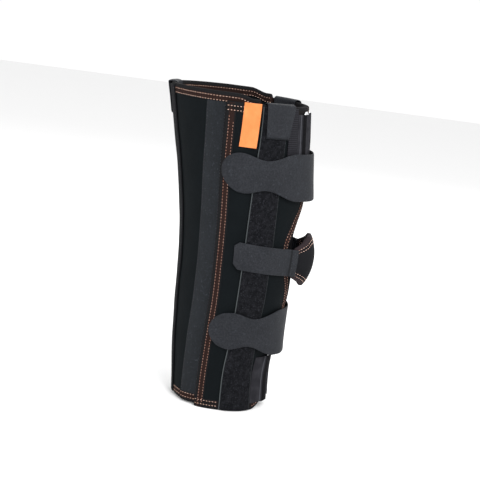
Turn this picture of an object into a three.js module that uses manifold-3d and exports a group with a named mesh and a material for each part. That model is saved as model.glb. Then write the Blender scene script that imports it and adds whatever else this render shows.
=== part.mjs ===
// A long knee immobilizer, closed as it is worn: a padded back panel, two padded side panels that
// lap over it, and straps that bridge the open front.
//
// Millimetres, +Z up. The leg's front is -Y and its outer side is -X. The side panels stand on Z 0.
import * as THREE from 'three';
import Module from 'manifold-3d';

const wasm = await Module();
wasm.setup();

// Closed form, measured over the outside of the panels
const braceLength = 405;
const thighDepth = 175.5;
const thighWidth = 167;

// Sections up the brace. height is a share of braceLength. back and front are shares of thighDepth.
// gather is how much the sewn strips close up where the calf is slimmer. lap is where the side panels'
// back edge runs, as a share of sidePanelBackEdge. pocketFore and pocketAft are where the stay pockets'
// edges run, as shares of pocketFront and pocketBack.
const sections = [
  { height: 0.0, back: 0.373, front: 0.325, gather: 0.81, lap: 0.83, pocketFore: 0.665, pocketAft: 0.83 },
  { height: 0.125, back: 0.402, front: 0.311, gather: 0.81, lap: 0.815, pocketFore: 0.672, pocketAft: 0.82 },
  { height: 0.25, back: 0.422, front: 0.348, gather: 0.86, lap: 0.865, pocketFore: 0.8, pocketAft: 0.862 },
  { height: 0.375, back: 0.433, front: 0.402, gather: 0.95, lap: 0.937, pocketFore: 0.93, pocketAft: 0.955 },
  { height: 0.5, back: 0.444, front: 0.427, gather: 1.0, lap: 0.981, pocketFore: 1.0, pocketAft: 1.0 },
  { height: 0.625, back: 0.476, front: 0.422, gather: 1.0, lap: 0.993, pocketFore: 1.0, pocketAft: 1.0 },
  { height: 0.75, back: 0.524, front: 0.405, gather: 0.985, lap: 1.002, pocketFore: 0.98, pocketAft: 0.98 },
  { height: 0.875, back: 0.584, front: 0.385, gather: 0.965, lap: 1.0, pocketFore: 0.94, pocketAft: 0.95 },
  { height: 1.0, back: 0.644, front: 0.356, gather: 0.945, lap: 0.986, pocketFore: 0.9, pocketAft: 0.925 },
];

// Panels of laminated foam
const backPanelThickness = 6;
const sidePanelThickness = 5;
const layerGap = 0.4;
const lapGap = 0.7;
const backPanelDrop = 10;
const backPanelFoot = 3;
const rimFall = 5;
const rimFallStart = 128;
const rimFallWidth = 22;
const lapRise = 2.5;
const lapStart = 90;
const lapSettle = 22;

// Places round the leg are distances along the cloth from the middle of the front
const backPanelEdge = 104;
const sidePanelBackEdge = 142;
const frontEdge = 8;
const lowerCornerRun = 54;
const lowerCornerRise = 45;

// Opening for the kneecap, cut into the front edge of both side panels
const openingHeight = 172;
const openingDepth = 33;
const openingFoot = 107;
// Rows up the opening. height is a share of openingHeight and depth of openingDepth.
const openingRows = [
  { height: 0.0, depth: 0.0 },
  { height: 0.09, depth: 0.04 },
  { height: 0.19, depth: 0.14 },
  { height: 0.3, depth: 0.33 },
  { height: 0.45, depth: 0.68 },
  { height: 0.65, depth: 1.0 },
  { height: 0.82, depth: 0.64 },
  { height: 0.94, depth: 0.14 },
  { height: 1.0, depth: 0.0 },
];

// Strips sewn to the panels
const hookStripWidth = 24;
const hookStripDrop = 11;
const hookStripThickness = 1.2;
const hookStripGap = 1;
const pocketFront = 69;
const pocketBack = 105;
const pocketThickness = 1.4;
const pocketSwell = 1.2;
const pocketInset = 1;
const bridgeEnd = 14;
const backPocketTopWidth = 84;
const backPocketFootWidth = 46;
const backPocketThickness = 2.1;
const ribbedTapeFront = 43.5;
const ribbedTapeWidth = 17;
const ribbedTapeThickness = 1;
const ribbedTapeLength = 96;

// Tabs folded over the rim
const tabThickness = 1.4;
const tabDrop = 39;
const tabInnerDrop = 16;
const tabRise = 3;
const backTabRise = 1.5;
const tabTaper = 10;
const sideTabFront = 53;
const sideTabWidth = 40;
const backTabWidth = 40;

// Label
const labelWidth = 20;
const labelLength = 54;
const labelThickness = 0.9;
const labelBack = 120;
const labelLean = 4;
const labelRise = 2;

// Flat channels along the front edges and the bars in them
const channelThickness = 3.4;
const channelWall = 0.8;
const channelRound = 5;
const channelEdgeShare = 0.3;
const channelEdgeGap = 1.5;
const stayWidth = 14;
const stayClearance = 0.3;
const thighChannel = { width: 33.5, flange: 4.5, length: 106, drop: 8, reveal: 3.5, stay: 96 };
const calfChannel = { width: 37, flange: 18, length: 62, foot: 9.5, reveal: 1.5, stay: 54 };

// Straps with a wide middle, two necks and two round ends. All places are along the strap's run
// from the middle of the front. standTop and standFoot are the strap's clearance at the front.
const strapThickness = 1.7;
const strapEndRadius = 24.8;
const strapTipWidth = 9;
const strapLeaves = 62;
const strapClear = 12;
const straps = [
  {
    name: 'upper_strap', at: 0.761, wide: 59, wideTo: 46, neck: 37, neckAt: 88, endAt: 116,
    rise: 3, standTop: 6.8, standFoot: 10.6,
  },
  {
    name: 'lower_strap', at: 0.261, wide: 61, wideTo: 30, neck: 38, neckAt: 68, endAt: 93.5,
    rise: 3, standTop: 1.5, standFoot: 13.5,
  },
];

// Strap over the kneecap
const kneeStrapAt = 0.495;
const kneeTapeWidth = 35;
const kneeTapeThickness = 1.7;
const kneeTapeEnd = 116;
const kneeTapeStart = 33;
const kneeTapeStep = 9;
const kneeTapeSlope = 8;
const kneeTapeChamfer = 6;
const kneeTapeRise = 8;
const kneePadHeight = 62;
const kneePadReach = 36;
const kneePadThickness = 7;
const kneePadEdge = 2;
const kneePadStand = 14.5;
const kneePadCrown = 6;
const kneePadRiseFrom = 48;
const kneePadFlare = 24;

const lerp = (a, b, t) => a + (b - a) * t;
const clamp = (t) => Math.min(1, Math.max(0, t));
const ease = (t) => clamp(t) * clamp(t) * (3 - 2 * clamp(t));

// A smooth curve through one column of a table
function through(rows, column, height) {
  const last = rows.length - 1;
  const h = Math.min(rows[last].height, Math.max(rows[0].height, height));
  let i = 0;
  while (i < last - 1 && rows[i + 1].height <= h) i++;
  const value = (k) => rows[Math.min(last, Math.max(0, k))][column];
  const t = (h - rows[i].height) / (rows[i + 1].height - rows[i].height);
  const before = i === 0 ? 2 * value(0) - value(1) : value(i - 1);
  const after = i === last - 1 ? 2 * value(last) - value(last - 1) : value(i + 2);
  const [p, q] = [value(i), value(i + 1)];
  const bend = (2 * before - 5 * p + 4 * q - after) * t * t + (3 * p - before - 3 * q + after) * t * t * t;
  return 0.5 * (2 * p + (q - before) * t + bend);
}

// The oval section at a height: its middle along Y and its half sizes
function section(z) {
  const back = through(sections, 'back', z / braceLength) * thighDepth;
  const front = through(sections, 'front', z / braceLength) * thighDepth;
  const depth = (back + front) / 2;
  const width = depth * thighWidth / thighDepth;
  return { middle: (back - front) / 2, depth, width, mean: (depth + width) / 2 };
}

// A point at a run round the leg, a height and a distance outside the panels' outer face
function point(run, z, out) {
  const { middle, depth, width, mean } = section(z);
  const angle = run / mean;
  return new THREE.Vector3(-(width + out) * Math.sin(angle), middle - (depth + out) * Math.cos(angle), z);
}

const gathered = (run, z) => run * through(sections, 'gather', z / braceLength);
const lapEdge = (z) => sidePanelBackEdge * through(sections, 'lap', z / braceLength);
const halfRound = (z) => Math.PI * section(z).mean;
const sideRim = braceLength - backPanelDrop;

// A closed wall from a grid of places. place(u, v, layer) gives the inner point at layer 0 and the
// outer point at layer 1.
function wall(columns, rows, place) {
  const vertices = [];
  for (let layer = 0; layer < 2; layer++) {
    for (let j = 0; j <= rows; j++) {
      for (let i = 0; i <= columns; i++) vertices.push(...place(i / columns, j / rows, layer).toArray());
    }
  }
  const at = (i, j, layer) => (layer * (rows + 1) + j) * (columns + 1) + i;
  const faces = [];
  const quad = (a, b, c, d) => faces.push(a, b, c, a, c, d);
  for (let j = 0; j < rows; j++) {
    for (let i = 0; i < columns; i++) {
      quad(at(i, j, 1), at(i + 1, j, 1), at(i + 1, j + 1, 1), at(i, j + 1, 1));
      quad(at(i, j, 0), at(i, j + 1, 0), at(i + 1, j + 1, 0), at(i + 1, j, 0));
    }
    quad(at(0, j, 0), at(0, j, 1), at(0, j + 1, 1), at(0, j + 1, 0));
    quad(at(columns, j, 0), at(columns, j + 1, 0), at(columns, j + 1, 1), at(columns, j, 1));
  }
  for (let i = 0; i < columns; i++) {
    quad(at(i, 0, 0), at(i + 1, 0, 0), at(i + 1, 0, 1), at(i, 0, 1));
    quad(at(i, rows, 0), at(i, rows, 1), at(i + 1, rows, 1), at(i + 1, rows, 0));
  }
  const geometry = new THREE.BufferGeometry();
  geometry.setAttribute('position', new THREE.Float32BufferAttribute(vertices, 3));
  geometry.setIndex(faces);
  return facingOut(geometry);
}

// Turns every face outward, whichever way round the grid was walked
function facingOut(geometry) {
  const place = geometry.getAttribute('position');
  const index = geometry.getIndex();
  const corner = (k) => new THREE.Vector3().fromBufferAttribute(place, index.getX(k));
  let volume = 0;
  for (let k = 0; k < index.count; k += 3) volume += corner(k).dot(corner(k + 1).cross(corner(k + 2)));
  if (volume < 0) {
    for (let k = 0; k < index.count; k += 3) {
      const kept = index.getX(k + 1);
      index.setX(k + 1, index.getX(k + 2));
      index.setX(k + 2, kept);
    }
  }
  return geometry;
}

// One wall with another cut out of it
function cut(body, tool) {
  const solid = (geometry) => new wasm.Manifold(new wasm.Mesh({
    numProp: 3,
    vertProperties: new Float32Array(geometry.getAttribute('position').array),
    triVerts: new Uint32Array(geometry.getIndex().array),
  }));
  const mesh = solid(body).subtract(solid(tool)).getMesh();
  const geometry = new THREE.BufferGeometry();
  geometry.setAttribute('position', new THREE.BufferAttribute(new Float32Array(mesh.vertProperties), 3));
  geometry.setIndex(new THREE.BufferAttribute(new Uint32Array(mesh.triVerts), 1));
  return geometry;
}

// Outer face of a side panel: it lifts where it laps over the back panel
const sideFace = (run) => lapRise * ease((run - lapStart) / (sidePanelBackEdge - lapStart));

// Outer face of the back panel: it is pressed in under the lap and comes out behind it
function backFace(run, z) {
  const edge = lapEdge(z);
  const pressed = sideFace(Math.min(run, edge) * sidePanelBackEdge / edge) - sidePanelThickness - lapGap;
  return lerp(pressed, 0, ease((run - edge) / lapSettle));
}

// Face that tabs and tapes lie on: they bridge from the front margin over the pocket to the panel
function coveredFace(run) {
  const bridging = ease((pocketBack + bridgeEnd - run) / bridgeEnd);
  return sideFace(run) + (layerGap + pocketThickness + pocketSwell) * bridging;
}

// Face that the wide straps lie on, a little higher where they cross the channels
function strapFace(run) {
  const overChannel = channelThickness - pocketThickness - pocketSwell;
  const slope = pocketFront - thighChannel.width - frontEdge;
  return coveredFace(run) + overChannel * ease((pocketFront - run) / slope);
}

// Front edge of a side panel at a height: straight, cut out at the kneecap, round at the lower corner
function panelFrontEdge(z) {
  const up = (z - openingFoot) / openingHeight;
  const opening = up > 0 && up < 1 ? Math.max(0, through(openingRows, 'depth', up)) * openingDepth : 0;
  const corner = 1 - Math.sqrt(1 - clamp(1 - z / lowerCornerRise) ** 2);
  return frontEdge + opening + lowerCornerRun * corner;
}

function backPanel() {
  return wall(32, 14, (u, v, layer) => {
    const level = lerp(backPanelFoot, braceLength, v);
    const edge = gathered(backPanelEdge, level);
    const run = lerp(edge, 2 * halfRound(level) - edge, u);
    const fromFront = Math.min(run, 2 * halfRound(level) - run);
    const z = level - v * rimFall * ease((rimFallStart - fromFront) / rimFallWidth);
    return point(run, z, backFace(fromFront, z) - (layer ? 0 : backPanelThickness));
  });
}

// Heights of a side panel's rows, closer together at the round corner and through the opening
function panelHeight(v) {
  const corner = 0.16;
  if (v < corner) return lowerCornerRise * (1 - Math.cos(v / corner * Math.PI / 2));
  return lerp(lowerCornerRise, sideRim, (v - corner) / (1 - corner));
}

function sidePanel(side) {
  return wall(12, 25, (u, v, layer) => {
    const z = panelHeight(v);
    const run = lerp(gathered(panelFrontEdge(z), z), lapEdge(z), u);
    const face = sideFace(run * sidePanelBackEdge / lapEdge(z));
    return point(side * run, z, face - (layer ? 0 : sidePanelThickness));
  });
}

function hookStrip(side) {
  return wall(3, 14, (u, v, layer) => {
    const z = lerp(backPanelFoot + pocketInset, braceLength - hookStripDrop, v);
    const start = lapEdge(z) + hookStripGap;
    const run = start + hookStripWidth * u;
    return point(side * run, z, backFace(run, z) + layerGap + (layer ? hookStripThickness : 0));
  });
}

function sidePocket(side) {
  return wall(6, 16, (u, v, layer) => {
    const z = lerp(pocketInset, sideRim - pocketInset, v);
    const fore = pocketFront * through(sections, 'pocketFore', z / braceLength);
    const aft = pocketBack * through(sections, 'pocketAft', z / braceLength);
    const run = lerp(fore, aft, u);
    const lift = layer ? pocketThickness + pocketSwell * Math.sin(Math.PI * u) : 0;
    return point(side * run, z, sideFace(run * sidePanelBackEdge / lapEdge(z)) + layerGap + lift);
  });
}

function backPocket() {
  return wall(6, 14, (u, v, layer) => {
    const z = lerp(backPanelFoot + pocketInset, braceLength - pocketInset, v);
    const across = lerp(backPocketFootWidth, backPocketTopWidth, z / braceLength) * (u - 0.5);
    return point(halfRound(z) + across, z, layerGap + (layer ? backPocketThickness : 0));
  });
}

function ribbedTape(side) {
  return wall(2, 5, (u, v, layer) => {
    const z = sideRim - pocketInset - ribbedTapeLength * v;
    const flat = ribbedTapeFront + ribbedTapeWidth * u;
    return point(side * flat, z, layerGap + (layer ? ribbedTapeThickness : 0));
  });
}

// A tape folded over a rim. rim is the rim's height, inner the face it hooks behind, outer(run) the
// face it lies on outside, rise the height of its fold, and taper how much narrower its foot is.
function foldedTab(start, width, rim, inner, outer, rise, taper) {
  const steps = 12;
  return wall(4, steps, (u, v, layer) => {
    const run = start + width * u + Math.sign(width) * taper * (1 - u) * clamp(1 - 4 * v);
    const half = (outer(run) - inner) / 2 + layerGap + tabThickness / 2;
    const middle = (outer(run) + inner) / 2;
    const crest = rim + layerGap;
    const step = v * steps;
    const reach = layer ? tabThickness / 2 : -tabThickness / 2;
    if (step < 3) return point(run, lerp(rim - tabDrop, crest, step / 3), middle + half + reach);
    if (step > 9) return point(run, lerp(crest, rim - tabInnerDrop, (step - 9) / 3), middle - half - reach);
    const turn = Math.PI * (step - 3) / 6;
    return point(run, crest + (rise + reach) * Math.sin(turn), middle + (half + reach) * Math.cos(turn));
  });
}

function sideTab(side) {
  const face = (run) => coveredFace(Math.abs(run));
  const start = side * sideTabFront;
  return foldedTab(start, side * sideTabWidth, sideRim, -sidePanelThickness, face, tabRise, tabTaper);
}

function backTab() {
  const face = () => layerGap + backPocketThickness;
  const start = halfRound(braceLength) - backTabWidth / 2;
  return foldedTab(start, backTabWidth, braceLength, -backPanelThickness, face, backTabRise, 0);
}

function label() {
  return wall(4, 5, (u, v, layer) => {
    const run = labelBack - labelWidth * u + labelLean * v;
    const z = sideRim + labelRise - labelLength * v;
    return point(run, z, coveredFace(run) + layerGap + (layer ? labelThickness : 0));
  });
}

// A channel below a height. Its flange lies flat and the rest is a tube for a bar.
function channelBody(side, spec, top) {
  const tubeWidth = spec.width - spec.flange;
  return wall(8, 5, (u, v, layer) => {
    const z = top - spec.length * v;
    const across = spec.width * u;
    const fromSeam = (tubeWidth + channelRound / 2 - across) / channelRound;
    const tube = ease(fromSeam) * ease(across / channelRound + channelEdgeShare);
    const lift = layer ? lerp(channelWall, channelThickness, tube) : 0;
    return point(side * (gathered(frontEdge, z) + channelEdgeGap + across), z, layerGap + lift);
  });
}

// A flat bar in a channel, or with spread above zero the room that it slides in
function bar(side, spec, top, spread) {
  return wall(3, 5, (u, v, layer) => {
    const z = lerp(top + spec.reveal - spec.stay + stayClearance - spread, top + spec.reveal, v);
    const start = channelEdgeGap + (spec.width - spec.flange - stayWidth) / 2 - spread;
    const across = start + (stayWidth + 2 * spread) * u;
    const low = layerGap + channelWall + stayClearance - spread;
    const high = layerGap + channelThickness - channelWall - stayClearance + spread;
    return point(side * (gathered(frontEdge, z) + across), z, layer ? high : low);
  });
}

const channelTops = [
  ['thigh', thighChannel, sideRim - thighChannel.drop],
  ['calf', calfChannel, calfChannel.foot + calfChannel.length],
];

// Half width of a strap at a distance from its middle
function strapHalfWidth(strap, along) {
  if (along > strap.endAt) {
    const past = Math.min(1, (along - strap.endAt) / strapEndRadius);
    return Math.max(strapTipWidth / 2, strapEndRadius * Math.sqrt(1 - past * past));
  }
  if (along > strap.neckAt) {
    const swell = ease((along - strap.neckAt) / (strap.endAt - strap.neckAt));
    return lerp(strap.neck / 2, strapEndRadius, swell);
  }
  return lerp(strap.wide, strap.neck, ease((along - strap.wideTo) / (strap.neckAt - strap.wideTo))) / 2;
}

// A run on a strap that keeps its lines upright: it is measured on the section at the strap's height
const uprightRun = (run, z, height) => run * section(z).mean / section(height).mean;

// How far round the leg a strap has come at a share of its length. Stations crowd at the round ends.
function strapRun(strap, u) {
  const share = Math.abs(2 * u - 1);
  const straight = 0.8;
  const along = share < straight
    ? strap.endAt * share / straight
    : strap.endAt + strapEndRadius * Math.sin((share - straight) / (1 - straight) * Math.PI / 2);
  return u < 0.5 ? -along : along;
}

function strap(spec) {
  const height = spec.at * braceLength;
  return wall(40, 4, (u, v, layer) => {
    const run = strapRun(spec, u);
    const along = Math.abs(run);
    const rise = spec.rise * along / spec.endAt;
    const z = height + rise + strapHalfWidth(spec, along) * (2 * v - 1);
    const flat = along / gathered(1, z);
    const stand = lerp(spec.standFoot, spec.standTop, v);
    const lift = lerp(strapFace(flat), stand, ease((strapLeaves - along) / (strapLeaves - strapClear)));
    return point(uprightRun(run, z, height), z, lift + layerGap + (layer ? strapThickness : 0));
  });
}

// Inner face of the kneecap strap: it lies on the side panels and stands off the knee in front
function kneeFace(along) {
  return lerp(coveredFace(along), kneePadStand, ease((kneePadRiseFrom - along) / (kneePadRiseFrom - 8)));
}

const padThickness = (along) => lerp(kneePadEdge, kneePadThickness, ease((kneePadReach - along) / 16));

const kneeHeight = kneeStrapAt * braceLength;

function kneePad() {
  return wall(14, 6, (u, v, layer) => {
    const run = lerp(-kneePadReach, kneePadReach, u);
    const along = Math.abs(run);
    const half = lerp(kneeTapeWidth, kneePadHeight, clamp((kneePadReach - along) / kneePadFlare)) / 2;
    const across = 2 * v - 1;
    const crown = kneePadCrown * across * across * ease((kneePadReach - along) / kneePadFlare);
    const z = kneeHeight + half * across;
    const lift = layer ? padThickness(along) : 0;
    return point(uprightRun(run, z, kneeHeight), z, kneeFace(along) - crown + lift);
  });
}

// A tape sewn on the end of the pad, running back to its chamfered end on the side panel
function kneeTape(side) {
  return wall(14, 2, (u, v, layer) => {
    const along = lerp(kneeTapeStart, kneeTapeEnd, u);
    const chamfer = Math.max(0, along - kneeTapeEnd + kneeTapeChamfer);
    const rise = kneeTapeRise * (along - kneePadReach) / (kneeTapeEnd - kneePadReach);
    const z = kneeHeight + rise + (kneeTapeWidth / 2 - chamfer) * (2 * v - 1);
    const onPad = ease((kneePadReach + kneeTapeStep - along) / kneeTapeSlope);
    const over = onPad * (padThickness(along) + layerGap);
    const out = kneeFace(along) + over + layerGap + (layer ? kneeTapeThickness : 0);
    return point(side * uprightRun(along, z, kneeHeight), z, out);
  });
}

// Finishes
const finish = (color, roughness, metalness = 0) => () => (
  new THREE.MeshStandardMaterial({ color, roughness, metalness })
);
const panelCloth = finish(0x1b1e21, 0.95);
const loopCloth = finish(0x1e1f24, 1.0);
const hookTape = finish(0x34373d, 0.7);
const wovenTape = finish(0x26282c, 0.85);
const labelCloth = finish(0xff9a3c, 0.75);
const bareAluminium = finish(0xd9dade, 0.35, 1.0);

const outerSide = 1;
const innerSide = -1;

const brace = new THREE.Group();
brace.name = 'knee_immobilizer';

function add(name, geometry, material) {
  const mesh = new THREE.Mesh(geometry, material());
  mesh.name = name;
  geometry.computeVertexNormals();
  brace.add(mesh);
}

add('posterior_panel', backPanel(), panelCloth);
add('posterior_stay_pocket', backPocket(), panelCloth);
add('posterior_tab', backTab(), hookTape);
for (const [word, side] of [['lateral', outerSide], ['medial', innerSide]]) {
  add(`${word}_panel`, sidePanel(side), panelCloth);
  add(`${word}_hook_strip`, hookStrip(side), hookTape);
  add(`${word}_stay_pocket`, sidePocket(side), loopCloth);
  add(`${word}_ribbed_tape`, ribbedTape(side), wovenTape);
  add(`${word}_tab`, sideTab(side), hookTape);
  for (const [zone, spec, top] of channelTops) {
    const room = bar(side, spec, top, stayClearance);
    add(`${word}_${zone}_channel`, cut(channelBody(side, spec, top), room), wovenTape);
    add(`${word}_${zone}_stay`, bar(side, spec, top, 0), bareAluminium);
  }
  add(`${word}_knee_tape`, kneeTape(side), hookTape);
}
add('label', label(), labelCloth);
add('knee_pad', kneePad(), panelCloth);
for (const spec of straps) add(spec.name, strap(spec), hookTape);

// The origin is under the middle of the whole brace
const bounds = new THREE.Box3().setFromObject(brace, true);
const middle = bounds.getCenter(new THREE.Vector3());
brace.position.set(-middle.x, -middle.y, -bounds.min.z);

export default brace;
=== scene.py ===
# A long knee immobilizer, closed as it is worn, dressed over its CAD frame.
# Metres. The front is -Y and the label is on the outer side, -X.
import math

import bpy
import numpy as np
from mathutils import Matrix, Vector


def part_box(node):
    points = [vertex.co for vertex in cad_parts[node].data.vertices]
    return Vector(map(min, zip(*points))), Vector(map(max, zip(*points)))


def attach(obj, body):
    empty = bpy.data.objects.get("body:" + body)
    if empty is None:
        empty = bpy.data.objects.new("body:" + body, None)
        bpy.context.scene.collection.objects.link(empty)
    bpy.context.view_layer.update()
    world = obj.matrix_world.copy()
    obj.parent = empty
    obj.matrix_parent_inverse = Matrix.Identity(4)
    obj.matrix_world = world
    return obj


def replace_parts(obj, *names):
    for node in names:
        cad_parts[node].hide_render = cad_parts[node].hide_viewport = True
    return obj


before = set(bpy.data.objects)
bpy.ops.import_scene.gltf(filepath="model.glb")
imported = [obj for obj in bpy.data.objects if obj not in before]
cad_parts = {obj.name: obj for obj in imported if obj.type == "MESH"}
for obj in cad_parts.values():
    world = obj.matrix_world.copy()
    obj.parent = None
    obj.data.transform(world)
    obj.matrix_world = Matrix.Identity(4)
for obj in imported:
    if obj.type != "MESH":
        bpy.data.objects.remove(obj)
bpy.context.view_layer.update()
MM = 0.001


# Posterior panel
# The padded inner layer: black cloth laminated on foam, cut to reach from under one side panel
# round the back to under the other, and pressed in where they lap over it. Places are distances
# along the cloth from the middle of the front, heights, and distances beyond the outer face.
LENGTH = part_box("posterior_panel")[1].z
THIGH_DEPTH = 175.5 * MM
THIGH_WIDTH = 167 * MM
HEIGHTS = np.linspace(0, 1, 9)
BACK = np.array([0.373, 0.402, 0.422, 0.433, 0.444, 0.476, 0.524, 0.584, 0.644])
FRONT = np.array([0.325, 0.311, 0.348, 0.402, 0.427, 0.422, 0.405, 0.385, 0.356])
GATHER = np.array([0.81, 0.81, 0.86, 0.95, 1.0, 1.0, 0.985, 0.965, 0.945])
BACK_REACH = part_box("posterior_panel")[1].y - BACK[-1] * THIGH_DEPTH
SLOW_WAVE = 0.3 * MM
QUICK_WAVE = 0.12 * MM
BACK_THICK = 6 * MM
BACK_EDGE = 104 * MM
BACK_FOOT = 3 * MM
RIM_FALL = 5 * MM
RIM_FALL_START = 128 * MM
RIM_FALL_WIDTH = 22 * MM
SIDE_BACK = 142 * MM
SIDE_THICK = 5 * MM
LAP = np.array([0.83, 0.815, 0.865, 0.937, 0.981, 0.993, 1.002, 1.0, 0.986])
LAP_GAP = 0.7 * MM
LAP_RISE = 2.5 * MM
LAP_START = 90 * MM
LAP_SETTLE = 22 * MM


def lerp(a, b, t):
    return a + (b - a) * t


def ease(t):
    t = np.clip(t, 0, 1)
    return t * t * (3 - 2 * t)


def through(heights, values, height):
    """A smooth curve through one column of a table."""
    height = np.clip(height, heights[0], heights[-1])
    row = np.clip(np.searchsorted(heights, height, side="right") - 1, 0, len(heights) - 2)
    ends = (2 * values[0] - values[1], 2 * values[-1] - values[-2])
    padded = np.concatenate((ends[:1], values, ends[1:]))
    before, here, there, after = padded[row], padded[row + 1], padded[row + 2], padded[row + 3]
    t = (height - heights[row]) / (heights[row + 1] - heights[row])
    bend = (2 * before - 5 * here + 4 * there - after) * t**2
    turn = (3 * here - before - 3 * there + after) * t**3
    return 0.5 * (2 * here + (there - before) * t + bend + turn)


def section(z):
    """The oval section at a height: its middle along Y, its half sizes and their mean."""
    back = through(HEIGHTS, BACK, z / LENGTH) * THIGH_DEPTH
    front = through(HEIGHTS, FRONT, z / LENGTH) * THIGH_DEPTH
    depth = (back + front) / 2
    width = depth * THIGH_WIDTH / THIGH_DEPTH
    return (back - front) / 2 + BACK_REACH, depth, width, (depth + width) / 2


def softness(run, z):
    """The slow unevenness of padded cloth."""
    slow = np.sin(run * 71 + z * 23) * np.sin(z * 58 - run * 17)
    quick = np.sin(run * 152 - z * 61 + 1) * np.sin(z * 117 + run * 43)
    return SLOW_WAVE * slow + QUICK_WAVE * quick


def point(run, z, out):
    """A place on the brace. run is along the cloth and out is beyond the panels' outer face."""
    run, z, out = np.broadcast_arrays(run, z, out)
    middle, depth, width, mean = section(z)
    angle = run / mean
    out = out + softness(run, z)
    x = -(width + out) * np.sin(angle)
    return np.stack((x, middle - (depth + out) * np.cos(angle), z), axis=-1)


def gathered(run, z):
    """A run on the sewn strips, which close up where the calf is slimmer."""
    return run * through(HEIGHTS, GATHER, z / LENGTH)


def lap_edge(z):
    """Where a side panel's back edge runs."""
    return SIDE_BACK * through(HEIGHTS, LAP, z / LENGTH)


def half_round(z):
    return math.pi * section(z)[3]


def side_face(run):
    """Outer face of a side panel: it lifts where it laps over the back panel."""
    return LAP_RISE * ease((run - LAP_START) / (SIDE_BACK - LAP_START))


def back_face(run, z):
    """Outer face of the back panel: pressed in under the lap, and out again behind it."""
    edge = lap_edge(z)
    pressed = side_face(np.minimum(run, edge) * SIDE_BACK / edge) - SIDE_THICK - LAP_GAP
    return lerp(pressed, 0, ease((run - edge) / LAP_SETTLE))


def back_run(share, z):
    """A run on the back panel, from one hidden edge to the other."""
    edge = gathered(BACK_EDGE, z)
    return lerp(edge, 2 * half_round(z) - edge, share)


def from_front(run, z):
    return np.minimum(run, 2 * half_round(z) - run)


def back_surface(run, z):
    return back_face(from_front(run, z), z)


def rim_fall(run, z):
    """How far the rim falls where it nears the side panels."""
    return RIM_FALL * ease((RIM_FALL_START - from_front(run, z)) / RIM_FALL_WIDTH)


def stations(length, step, edge):
    """Distances along a side, close together within edge of both ends."""
    start = edge * (1 - np.cos(np.arange(5) / 4 * math.pi / 2))
    count = max(1, int(round((length - 2 * edge) / step)))
    middle = np.linspace(edge, length - edge, count + 1)
    return np.concatenate((start[:-1], middle, length - start[:-1][::-1]))


def roundness(along, length, edge):
    """How full a soft piece is near its ends: nothing at the end, full from edge on."""
    near = np.clip(np.minimum(along, length - along) / edge, 0, 1)
    return np.sqrt(1 - (1 - near) ** 2)


def mesh_object(name, places, faces, flat):
    """A smooth-shaded object that rides on the frame. flat is each vertex's place on the cloth."""
    used, packed = np.unique(np.concatenate([np.ravel(f) for f in faces]), return_inverse=True)
    mesh = bpy.data.meshes.new(name)
    lists = []
    start = 0
    for group in faces:
        lists.extend(packed[start:start + group.size].reshape(group.shape).tolist())
        start += group.size
    mesh.from_pydata(np.asarray(places)[used].tolist(), [], lists)
    corner_of = np.empty(len(mesh.loops), np.int32)
    mesh.loops.foreach_get("vertex_index", corner_of)
    cloth = mesh.uv_layers.new(name="cloth")
    cloth.data.foreach_set("uv", np.asarray(flat)[used][corner_of].astype(np.float32).ravel())
    mesh.shade_smooth()
    piece = bpy.data.objects.new(name, mesh)
    bpy.context.scene.collection.objects.link(piece)
    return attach(piece, "root")


def quads(at):
    """Faces of a grid of vertex numbers."""
    corners = (at[:-1, :-1], at[:-1, 1:], at[1:, 1:], at[1:, :-1])
    return np.stack(corners, axis=-1).reshape(-1, 4)


def facing_out(piece):
    """Turns every face outward, whichever way round the grid was walked."""
    mesh = piece.data
    mesh.calc_loop_triangles()
    places = np.empty(len(mesh.vertices) * 3)
    mesh.vertices.foreach_get("co", places)
    corners = np.empty(len(mesh.loop_triangles) * 3, np.int32)
    mesh.loop_triangles.foreach_get("vertices", corners)
    a, b, c = places.reshape(-1, 3)[corners.reshape(-1, 3)].transpose(1, 0, 2)
    if np.einsum("ij,ij->", a, np.cross(b, c)) < 0:
        mesh.flip_normals()


def closed_grid(name, outer, inner, flat):
    """A closed piece from the grids of its two faces, which meet along their borders."""
    rows, columns = outer.shape[:2]
    near = np.arange(rows * columns).reshape(rows, columns)
    far = near + rows * columns
    for side in (np.s_[0, :], np.s_[-1, :], np.s_[:, 0], np.s_[:, -1]):
        far[side] = near[side]
    places = np.concatenate((outer.reshape(-1, 3), inner.reshape(-1, 3)))
    cloth = np.concatenate((flat.reshape(-1, 2), flat.reshape(-1, 2)))
    piece = mesh_object(name, places, [quads(near), quads(far)[:, ::-1]], cloth)
    facing_out(piece)
    return piece


def soft_piece(name, size, step, edge, thick, place):
    """A soft sheet or pad with round edges. size is its flat width and length, and
    place(across, up) gives the run, the height and the outer face's distance at a place on it."""
    across = stations(size[0], step[0], edge)
    up = stations(size[1], step[1], edge)
    u, v = np.meshgrid(across, up)
    run, z, face = np.broadcast_arrays(*place(u, v))
    full = np.minimum(roundness(u, size[0], edge), roundness(v, size[1], edge))
    middle = face - thick / 2
    outer = point(run, z, middle + full * thick / 2)
    inner = point(run, z, middle - full * thick / 2)
    return closed_grid(name, outer, inner, np.stack((u, v), axis=-1))


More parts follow.
